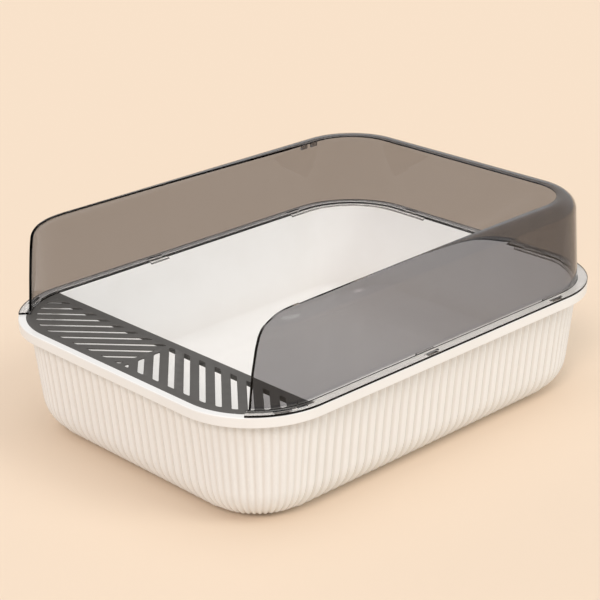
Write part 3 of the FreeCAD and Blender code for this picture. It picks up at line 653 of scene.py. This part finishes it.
def cut_lip_taper(piece, shield, base):
    """Narrows the lip towards the front of both sides."""
    half = BASIN_HIGH[0]
    front = corner_centre(1, -1).y - MM
    low = base + shield.height - shield.crown_radius
    room = block("taper_room", (0, (front + shield.taper_end) / 2, low + shield.crown_radius),
                 (2 * (half - shield.lip_front), shield.taper_end - front, 2 * shield.crown_radius))
    start_edit(room)
    select_in_edit(room, "verts", lambda vertex: vertex.co.y > 0)
    factor = (half - shield.lip_rear) / (half - shield.lip_front)
    bpy.ops.transform.resize(value=(factor, 1, 1), center_override=(0, 0, 0))
    end_edit()
    combine(piece, room)


def cut_windows(piece, shield, base):
    inner = shield.hook_inset + shield.hook_thickness
    outer = inner + shield.window_width
    low = base - 2 * MM
    high = base + shield.flange_thickness + 2 * MM
    for name, places, long in (("windows", hook_places(), shield.window_length),
                               ("short_windows", short_window_places(), shield.short_window)):
        combine(piece, blocks_at(name, places, inner, outer, long, low, high))


def add_hooks(piece, shield, base):
    inner = shield.hook_inset
    outer = inner + shield.hook_thickness
    legs = blocks_at("hook_legs", hook_places(), inner, outer, shield.hook_length,
                     base - shield.hook_depth, base + shield.flange_thickness / 2)
    combine(piece, legs, "UNION")
    rim = bpy.context.scene.tray_basin.rim_thickness
    noses = blocks_at("hook_noses", hook_places(), inner + 0.2 * MM, outer + shield.hook_nose,
                      shield.hook_length - 0.2 * MM, base - shield.hook_depth + 0.1 * MM,
                      base - rim - 0.3 * MM)
    combine(piece, noses, "UNION")


def add_lugs(piece, shield, base):
    """Locating lugs that hang inside the basin, in the middle of each side and round the rear corners."""
    lug = shield.lug_thickness
    plate = ring("lug_plate", shield.flange_width + shield.wall / 2, LUG_INSET + lug, base, base + lug / 2)
    lip = ring("lug_lip", LUG_INSET, LUG_INSET + lug - 0.01 * MM, base - shield.lug_depth, base + lug / 4)
    combine(plate, lip, "UNION")
    width = BASIN_HIGH[0] - LUG_FROM_MIDDLE
    zones = []
    for side in SIDES:
        hook = MIDDLE_HOOKS[side]
        for start, end in ((REAR_LUGS_FROM, BASIN_HIGH[1]), (hook - SIDE_LUG_HALF, hook + SIDE_LUG_HALF)):
            centre = (side * (LUG_FROM_MIDDLE + width / 2), (start + end) / 2, base)
            zones.append(block("lug_zone", centre, (width, end - start, 20 * MM)))
    join(zones[0], zones[1:])
    combine(plate, zones[0], "INTERSECT")
    combine(piece, plate, "UNION")


def ring(name, outer_inset, inner_inset, low, high):
    """A closed band with the rim's outline between two insets and two heights."""
    width = inner_inset - outer_inset
    band, wall = (drawn_shell(name + end, path, 24, inset=outer_inset, open_end=True)
                  for end, path in (("", [(0, low), (width, low), (width, high)]),
                                    ("_outside", [(0, low), (0, high), (width, high)])))
    join(band, [wall])
    close_up(band)
    return band


def add_teeth(piece, shield, base):
    """Two teeth below the lip on the left side."""
    step = (shield.tooth_length + shield.tooth_gap) / 2
    edge = -BASIN_HIGH[0] + shield.lip_rear - 0.1 * MM
    top = base + shield.height - shield.wall
    size = (shield.tooth_thickness, shield.tooth_length, shield.tooth_depth)
    boxes = []
    for middle in (shield.tooth_place - step, shield.tooth_place + step):
        centre = (edge - shield.tooth_thickness / 2, middle, top - shield.tooth_depth / 2)
        boxes.append(block("tooth", centre, size))
    join(boxes[0], boxes[1:])
    combine(piece, boxes[0], "UNION")


def build_shield():
    """Splash shield: two walls drawn from one outline, curled inwards, then cut open at the front."""
    shield = bpy.context.scene.splash_shield
    base = BASIN_HIGH[2] + shield.seating
    piece, inside = (drawn_shell(name, path, 40, (12, 18), open_end=True)
                     for name, path in zip(("shield", "shield_inside"), shield_paths(shield, base)))
    join(piece, [inside])
    close_up(piece)
    close_lip(piece, base + shield.height / 2)
    close_up(piece)
    for step in (cut_entrance, cut_lip_taper, add_hooks, add_lugs, cut_windows, add_teeth, mark_edges):
        step(piece, shield, base)
    return piece


def mark_edges(piece, shield, base):
    """Marks the cut ends and narrow rims, where one looks along the wall, for painted shade that makes them
    nearly black; the window walls get part of it.
    """
    basin = bpy.context.scene.tray_basin
    top = base + shield.flange_thickness
    marks = piece.data.attributes.new("edge_tint", "FLOAT", "FACE")
    for face, mark in zip(piece.data.polygons, marks.data):
        place = face.center
        inset = flute_place(basin, place)[0]
        inward = inset_direction(basin, place).dot(face.normal)
        rim = inset < 0.45 * MM and place.z > base - MM
        fillet = abs(inset - shield.flange_width) < 0.4 * MM and abs(place.z - top) < 0.6 * MM
        foot = inset > shield.flange_width + MM and -0.1 * MM < place.z - base < MM and inward > 0.5
        arm = place.y < corner_centre(1, -1).y and abs(face.normal.x) > 0.9 and abs(inward) < 0.9
        window = (abs(face.normal.z) < 0.3 and shield.hook_inset < inset < shield.flange_width - 2 * MM
                  and base - MM < place.z < top)
        # Marked faces get painted shade: full on the edges, partly on the window walls.
        mark.value = 1.0 if rim or fillet or foot or arm else WINDOW_PAINTED_SHADE * window


def inset_direction(basin, point):
    """Level direction from the rim's edge towards the middle of the tray."""
    flat_x = BASIN_HIGH[0] - basin.corner_radius
    flat_y = BASIN_HIGH[1] - basin.corner_radius
    over = Vector((max(abs(point.x) - flat_x, 0), max(abs(point.y) - flat_y, 0), 0))
    return Vector((-math.copysign(over.x, point.x), -math.copysign(over.y, point.y), 0)).normalized()


# Grate

RIB_INSET = 16.8 * MM


def build_grate():
    """Plate with two fans of slanted slots and a rib below its rear edge."""
    grate = bpy.context.scene.litter_grate
    top = GRATE_HIGH[2]
    low = top - grate.thickness
    rear = BASIN_LOW[1] + grate.reach
    plate = outlined_block("grate", grate.inset, low, top)
    keep_in_front(plate, rear)
    room = outlined_block("web_room", grate.inset + grate.web_border, low - MM, top - grate.web)
    keep_in_front(room, rear - grate.web_border)
    combine(plate, room)
    rib_low = GRATE_LOW[2] + grate.rib_lift
    half = BASIN_HIGH[0] - RIB_INSET
    rib = block("grate_rib", (0, rear - grate.rib_thickness / 2, (rib_low + low + MM) / 2),
                (2 * half, grate.rib_thickness, low + MM - rib_low))
    combine(plate, rib, "UNION")
    combine(plate, build_slots(grate, low, top, rear))
    round_top(plate, top, grate.edge_rounding)
    return plate


def build_slots(grate, low, top, rear):
    """Both fans of slots as one tool, each slot clipped to the border and the centre bar."""
    inset = bpy.context.scene.tray_basin.seat_inset + grate.slot_border
    angle_z = -grate.slot_angle
    along = Vector((math.cos(angle_z), math.sin(angle_z), 0))
    reach = grate.reach / math.sin(grate.slot_angle)
    bar = 0.4
    slots = []
    for number in range(-grate.short_slots, grate.long_slots):
        start = Vector((grate.slot_start + number * grate.slot_pitch, rear - grate.slot_border, 0))
        start -= along * grate.slot_pitch
        centre = start + along * (reach + grate.slot_pitch) / 2
        centre.z = (low + top) / 2
        size = (reach + grate.slot_pitch, grate.slot_width, 3 * grate.thickness)
        slot = block("slot", centre, size, angle_z)
        region = outlined_block("slot_region", inset, low - CUT, top + CUT, corner_steps=12)
        keep_in_front(region, rear - grate.slot_border)
        combine(region, block("centre_bar", (grate.centre_bar / 2 - bar / 2, 0, top), (bar, 1.0, 0.1)))
        combine(slot, region, "INTERSECT")
        if len(slot.data.polygons) > 0:
            round_uprights(slot, grate.slot_rounding)
            slots.append(slot)
    join(slots[0], slots[1:])
    mirror_across(slots[0])
    return slots[0]


def round_uprights(piece, radius):
    """Rounds the upright edges of a slot, as far as it has room."""
    start_edit(piece)
    bpy.ops.mesh.remove_doubles(threshold=0.4 * MM)
    bpy.ops.mesh.dissolve_limited(angle_limit=math.radians(1))
    bpy.ops.mesh.select_mode(type="EDGE")
    select_in_edit(piece, "edges", lambda edge: is_sharp(edge, 20)
                   and abs(edge.verts[0].co.z - edge.verts[1].co.z) > 2 * MM)
    bpy.ops.mesh.bevel(offset=radius, segments=5, affect="EDGES", clamp_overlap=True)
    end_edit()


def round_top(piece, top, width):
    """Rounds every edge round the top face, the slots' included."""
    start_edit(piece, "EDGE")
    bpy.ops.mesh.dissolve_limited(angle_limit=math.radians(0.5))
    select_in_edit(piece, "edges", lambda edge: is_sharp(edge, 60) and lies_at(edge, top))
    bpy.ops.mesh.bevel(offset=width, segments=3, affect="EDGES", clamp_overlap=False)
    end_edit()


def mirror_across(piece):
    """Adds the mirror image on the other side of the centre."""
    apply_modifier(piece, "MIRROR", use_axis=(True, False, False), use_mirror_merge=False)
    close_up(piece)


# Materials

def new_group(name, inputs, outputs):
    """A shader node group with number sockets, and the nodes at its two ends."""
    group = bpy.data.node_groups.new(name, "ShaderNodeTree")
    for socket, value in inputs.items():
        item = group.interface.new_socket(socket, in_out="INPUT", socket_type="NodeSocketFloat")
        item.default_value = value
    for socket in outputs:
        group.interface.new_socket(socket, in_out="OUTPUT", socket_type="NodeSocketFloat")
    return group, group.nodes.new("NodeGroupInput"), group.nodes.new("NodeGroupOutput")


def feed(tree, node, inputs):
    """Links inputs of a node to other sockets, or gives them numbers or colours."""
    for name, value in inputs.items():
        socket = node.inputs[name]
        if isinstance(value, bpy.types.NodeSocket):
            tree.links.new(value, socket)
        else:
            socket.default_value = (*value, 1) if socket.type == "RGBA" else value


def calculate(tree, operation, first, second=0.0, clamp=False):
    node = tree.nodes.new("ShaderNodeMath")
    node.operation = operation
    node.use_clamp = clamp
    feed(tree, node, {0: first, 1: second})
    return node.outputs[0]


def noise(tree, scale, detail, vector):
    node = tree.nodes.new("ShaderNodeTexNoise")
    feed(tree, node, {"Scale": scale, "Detail": detail, "Vector": vector})
    return node.outputs["Fac"]


def object_coordinates(tree):
    return tree.nodes.new("ShaderNodeTexCoord").outputs["Object"]


def map_range(tree, value, low, high, new_low, new_high):
    node = tree.nodes.new("ShaderNodeMapRange")
    feed(tree, node, {"Value": value, "From Min": low, "From Max": high,
                      "To Min": new_low, "To Max": new_high})
    return node.outputs["Result"]


def moulded_grain():
    """Fine moulded grain with a slow waviness below it, as a height and as a mask."""
    group, start, end = new_group("Moulded grain", {"Grain": 1.0, "Wave": 1.0}, ("Height", "Mask"))
    where = object_coordinates(group)
    slow = noise(group, 22, 3, where)
    fine_part = calculate(group, "MULTIPLY", noise(group, 1400, 2, where), start.outputs["Grain"])
    slow_part = calculate(group, "MULTIPLY", slow, start.outputs["Wave"])
    feed(group, end, {"Height": calculate(group, "ADD", fine_part, slow_part),
                      "Mask": map_range(group, slow, 0.4, 0.65, 0.0, 1.0)})
    return group


def rubbed_edges():
    """Mask of the edges that hands and paws rub, broken up by noise."""
    group, start, end = new_group("Rubbed edges", {"Sharpness": 12.0}, ("Mask",))
    geometry = group.nodes.new("ShaderNodeNewGeometry")
    lift = calculate(group, "SUBTRACT", geometry.outputs["Pointiness"], 0.52)
    gain = calculate(group, "MULTIPLY", lift, start.outputs["Sharpness"])
    patchy = map_range(group, noise(group, 90, 4, object_coordinates(group)), 0.35, 0.6, 0.2, 1.0)
    feed(group, end, {"Mask": calculate(group, "MULTIPLY", gain, patchy, clamp=True)})
    return group


def hairline_scratches():
    """Mask of faint long scratches that run mostly along the tray."""
    group, start, end = new_group("Hairline scratches", {"Amount": 1.0}, ("Mask",))
    mapping = group.nodes.new("ShaderNodeMapping")
    feed(group, mapping, {"Vector": object_coordinates(group), "Rotation": (0, 0, 0.2),
                          "Scale": (900, 14, 500)})
    thin = map_range(group, noise(group, 1, 2, mapping.outputs["Vector"]), 0.66, 0.74, 0.0, 1.0)
    feed(group, end, {"Mask": calculate(group, "MULTIPLY", thin, start.outputs["Amount"], clamp=True)})
    return group


def add_effect(tree, name, make, **values):
    """Places a shared effect in a material; its node group is made the first time."""
    node = tree.nodes.new("ShaderNodeGroup")
    node.node_tree = bpy.data.node_groups.get(name) or make()
    feed(tree, node, values)
    return node


def new_material(name):
    material = bpy.data.materials.new(name)
    material.use_nodes = True
    tree = material.node_tree
    return material, tree, tree.nodes["Principled BSDF"]


def mix_colours(tree, mask, first, second):
    """Mixes two colours by a mask; each may also come from another node."""
    node = tree.nodes.new("ShaderNodeMix")
    node.data_type = "RGBA"
    feed(tree, node, {"Factor": mask, "A": first, "B": second})
    return node.outputs["Result"]


def bump(tree, height, strength, distance):
    node = tree.nodes.new("ShaderNodeBump")
    feed(tree, node, {"Strength": strength, "Distance": distance, "Height": height})
    return node.outputs["Normal"]


def basin_plastic():
    """White plastic with slightly duller patches, and painted shade in its hollows, as between the flutes.
    """
    finish = bpy.context.scene.tray_finish
    material, tree, shader = new_material("basin_plastic")
    grain = add_effect(tree, "Moulded grain", moulded_grain, Grain=0.25, Wave=1.0)
    scratches = add_effect(tree, "Hairline scratches", hairline_scratches, Amount=0.08)
    patches = mix_colours(tree, grain.outputs["Mask"], finish.basin, finish.basin_shade)
    # Painted shade: concave places, found by pointiness, get the darker colour.
    geometry = tree.nodes.new("ShaderNodeNewGeometry")
    hollow = map_range(tree, geometry.outputs["Pointiness"], 0.5, 0.47, 0, 1)
    feed(tree, shader, {
        "Base Color": mix_colours(tree, hollow, patches, finish.basin_painted_shade),
        "Roughness": map_range(tree, scratches.outputs["Mask"], 0, 1, 0.17, 0.3),
        "Normal": bump(tree, grain.outputs["Height"], 0.25, 0.00006),
        "IOR": 1.49,
    })
    return material


def smoky_clear_plastic():
    """Smoky tint, paler at the flange, with painted shade that makes it nearly black along the wall and at
    its marked edges, and light scratches.
    """
    finish = bpy.context.scene.tray_finish
    shield = bpy.context.scene.splash_shield
    material, tree, shader = new_material("smoky_clear_plastic")
    scratches = add_effect(tree, "Hairline scratches", hairline_scratches, Amount=0.35)
    grain = add_effect(tree, "Moulded grain", moulded_grain, Grain=0.0, Wave=1.0)
    place = tree.nodes.new("ShaderNodeSeparateXYZ")
    feed(tree, place, {"Vector": object_coordinates(tree)})
    half = shield.flange_thickness / 2
    offset = calculate(tree, "SUBTRACT", place.outputs["Z"], BASIN_HIGH[2] + shield.seating + half)
    distance = calculate(tree, "ABSOLUTE", offset)
    smoky = map_range(tree, distance, half + 0.9 * MM, half + 1.4 * MM, 0, 1)
    wall = mix_colours(tree, smoky, finish.flange, finish.shield)
    # Painted shade: the marked edges, and faces seen nearly edge-on along the wall, are painted nearly
    # black.
    marked = tree.nodes.new("ShaderNodeAttribute")
    marked.attribute_name = "edge_tint"
    facing = tree.nodes.new("ShaderNodeLayerWeight")
    along_wall_shade = map_range(tree, facing.outputs["Facing"], 0.66, 0.9, 0, 0.9)
    dark = calculate(tree, "MAXIMUM", marked.outputs["Fac"], along_wall_shade)
    feed(tree, shader, {
        "Base Color": mix_colours(tree, dark, wall, finish.shield_edge_painted_shade),
        "Roughness": map_range(tree, scratches.outputs["Mask"], 0, 1, 0.015, 0.12),
        "Normal": bump(tree, grain.outputs["Height"], 0.05, 0.00004),
        "Transmission Weight": 1.0,
        "IOR": 1.25,
    })
    let_light_through(tree, shader, finish.shadow)
    return material


def let_light_through(tree, shader, tint):
    """Gives the clear wall a soft tinted shadow in place of a black one."""
    light_path = tree.nodes.new("ShaderNodeLightPath")
    through = tree.nodes.new("ShaderNodeBsdfTransparent")
    mix = tree.nodes.new("ShaderNodeMixShader")
    feed(tree, through, {"Color": tint})
    feed(tree, mix, {"Fac": light_path.outputs["Is Shadow Ray"], 1: shader.outputs["BSDF"],
                     2: through.outputs["BSDF"]})
    feed(tree, tree.nodes["Material Output"], {"Surface": mix.outputs["Shader"]})


def grate_plastic():
    """Dark grey plastic with a moulded grain, paler along its rubbed edges."""
    finish = bpy.context.scene.tray_finish
    material, tree, shader = new_material("grate_plastic")
    grain = add_effect(tree, "Moulded grain", moulded_grain, Grain=1.0, Wave=0.3)
    edges = add_effect(tree, "Rubbed edges", rubbed_edges, Sharpness=16.0)
    feed(tree, shader, {
        "Base Color": mix_colours(tree, edges.outputs["Mask"], finish.grate, finish.grate_worn),
        "Roughness": map_range(tree, grain.outputs["Mask"], 0, 1, 0.42, 0.55),
        "Normal": bump(tree, grain.outputs["Height"], 0.5, 0.0001),
    })
    return material


# Stage

FLOOR_SIZE = 30
WORLD_STRENGTH = 0.6
# Name, azimuth, elevation and spread in degrees, strength and tint
LIGHTS = (
    ("right_light", 110, 38, 26, 0.7, (0.97, 1.0, 0.97)),
    ("front_light", 31, 40, 18, 0.95, (1.0, 0.9, 0.85)),
    ("top_light", 0, 88, 60, 0.56, (1, 1, 1)),
)
AZIMUTH = math.radians(46.54)
ELEVATION = math.radians(22.24)
ROLL = math.radians(-0.97)
CAMERA_DISTANCE = 1.82825
AIM = Vector((-0.01763, 0.00469, 0.10851))
FOCAL_PIXELS = 1780
FRAME_PIXELS = 600


def direction(azimuth, elevation):
    """Direction from the tray towards a light or the camera; an azimuth of 0 is the front."""
    return Vector((math.sin(azimuth) * math.cos(elevation), -math.cos(azimuth) * math.cos(elevation),
                   math.sin(elevation)))


def add_floor():
    deselect()
    bpy.ops.mesh.primitive_plane_add(size=FLOOR_SIZE, location=(0, 0, 0))
    floor = bpy.context.object
    floor.name = "floor"
    material, tree, shader = new_material("floor_paint")
    finish = bpy.context.scene.tray_finish
    seen = tree.nodes.new("ShaderNodeLightPath")
    feed(tree, shader, {
        "Base Color": mix_colours(tree, seen.outputs["Is Diffuse Ray"], finish.floor, finish.floor_bounce),
        "Roughness": 0.9,
        "Specular IOR Level": 0.0,
    })
    floor.data.materials.append(material)


def add_lights():
    """An even world, and wide soft lights that are so far away that they light the floor evenly."""
    world = bpy.data.worlds.new("Studio")
    bpy.context.scene.world = world
    world.use_nodes = True
    tree = world.node_tree
    feed(tree, tree.nodes["Background"], {"Color": (1, 1, 1), "Strength": WORLD_STRENGTH})
    for name, azimuth, elevation, spread, strength, tint in LIGHTS:
        deselect()
        bpy.ops.object.light_add(type="SUN")
        lamp = bpy.context.object
        lamp.name = name
        lamp.data.energy = strength
        lamp.data.angle = math.radians(spread)
        lamp.data.color = tint
        towards = direction(math.radians(azimuth), math.radians(elevation))
        lamp.rotation_euler = (-towards).to_track_quat("-Z", "Y").to_euler()


def add_camera():
    """Camera at the photograph's angle, fitted to the tray's rim and base."""
    back = direction(AZIMUTH, ELEVATION)
    right = (-back).cross(Vector((0, 0, 1))).normalized()
    up = right.cross(-back)
    rolled_right = right * math.cos(ROLL) + up * math.sin(ROLL)
    rolled_up = up * math.cos(ROLL) - right * math.sin(ROLL)
    deselect()
    bpy.ops.object.camera_add()
    camera = bpy.context.object
    axes = Matrix((rolled_right, rolled_up, back)).transposed().to_4x4()
    camera.matrix_world = Matrix.Translation(AIM + back * CAMERA_DISTANCE) @ axes
    camera.data.sensor_width = 36
    camera.data.lens = FOCAL_PIXELS / FRAME_PIXELS * camera.data.sensor_width
    camera.data.clip_end = 60
    bpy.context.scene.camera = camera


# Operators

class TRAY_OT_basin(bpy.types.Operator):
    """Builds the fluted white basin"""
    bl_idname = "litter_tray.basin"
    bl_label = "Basin"

    def execute(self, context):
        finish_piece(build_basin(), "tray", "tray_basin", basin_plastic())
        return {"FINISHED"}


class TRAY_OT_shield(bpy.types.Operator):
    """Builds the smoky clear splash shield"""
    bl_idname = "litter_tray.shield"
    bl_label = "Splash shield"

    def execute(self, context):
        finish_piece(build_shield(), "shield", "splash_shield",
                     smoky_clear_plastic(), 30)
        return {"FINISHED"}


class TRAY_OT_grate(bpy.types.Operator):
    """Builds the slotted grate at the entrance"""
    bl_idname = "litter_tray.grate"
    bl_label = "Grate"

    def execute(self, context):
        finish_piece(build_grate(), "grate", "litter_grate", grate_plastic(), 40)
        return {"FINISHED"}


class TRAY_OT_stage(bpy.types.Operator):
    """Adds the pale floor, the soft studio light and the camera"""
    bl_idname = "litter_tray.stage"
    bl_label = "Stage"

    def execute(self, context):
        add_floor()
        add_lights()
        add_camera()
        context.scene.view_settings.view_transform = "Standard"
        return {"FINISHED"}


# Panel and registration

class TRAY_PT_sidebar(bpy.types.Panel):
    """Lists the tray's pieces and their sizes"""
    bl_idname = "TRAY_PT_sidebar"
    bl_label = "Litter tray"
    bl_space_type = "VIEW_3D"
    bl_region_type = "UI"
    bl_category = "Litter tray"

    def draw(self, context):
        layout = self.layout
        for operator in OPERATORS:
            layout.operator(operator.bl_idname)
        for name in SETTINGS:
            layout.separator()
            group = getattr(context.scene, name)
            for key in group.bl_rna.properties.keys():
                if key not in {"rna_type", "name"}:
                    layout.prop(group, key)


SETTINGS = {
    "tray_basin": BasinSettings,
    "splash_shield": ShieldSettings,
    "litter_grate": GrateSettings,
    "tray_finish": FinishSettings,
}
OPERATORS = (TRAY_OT_basin, TRAY_OT_shield, TRAY_OT_grate, TRAY_OT_stage)


def register():
    for name, group in SETTINGS.items():
        bpy.utils.register_class(group)
        setattr(bpy.types.Scene, name, PointerProperty(type=group))
    for cls in (*OPERATORS, TRAY_PT_sidebar):
        bpy.utils.register_class(cls)


def unregister():
    for cls in (TRAY_PT_sidebar, *reversed(OPERATORS)):
        bpy.utils.unregister_class(cls)
    for name, group in reversed(SETTINGS.items()):
        delattr(bpy.types.Scene, name)
        bpy.utils.unregister_class(group)


def main():
    register()
    bpy.ops.litter_tray.basin()
    bpy.ops.litter_tray.shield()
    bpy.ops.litter_tray.grate()
    bpy.ops.litter_tray.stage()


if __name__ == "__main__":
    main()
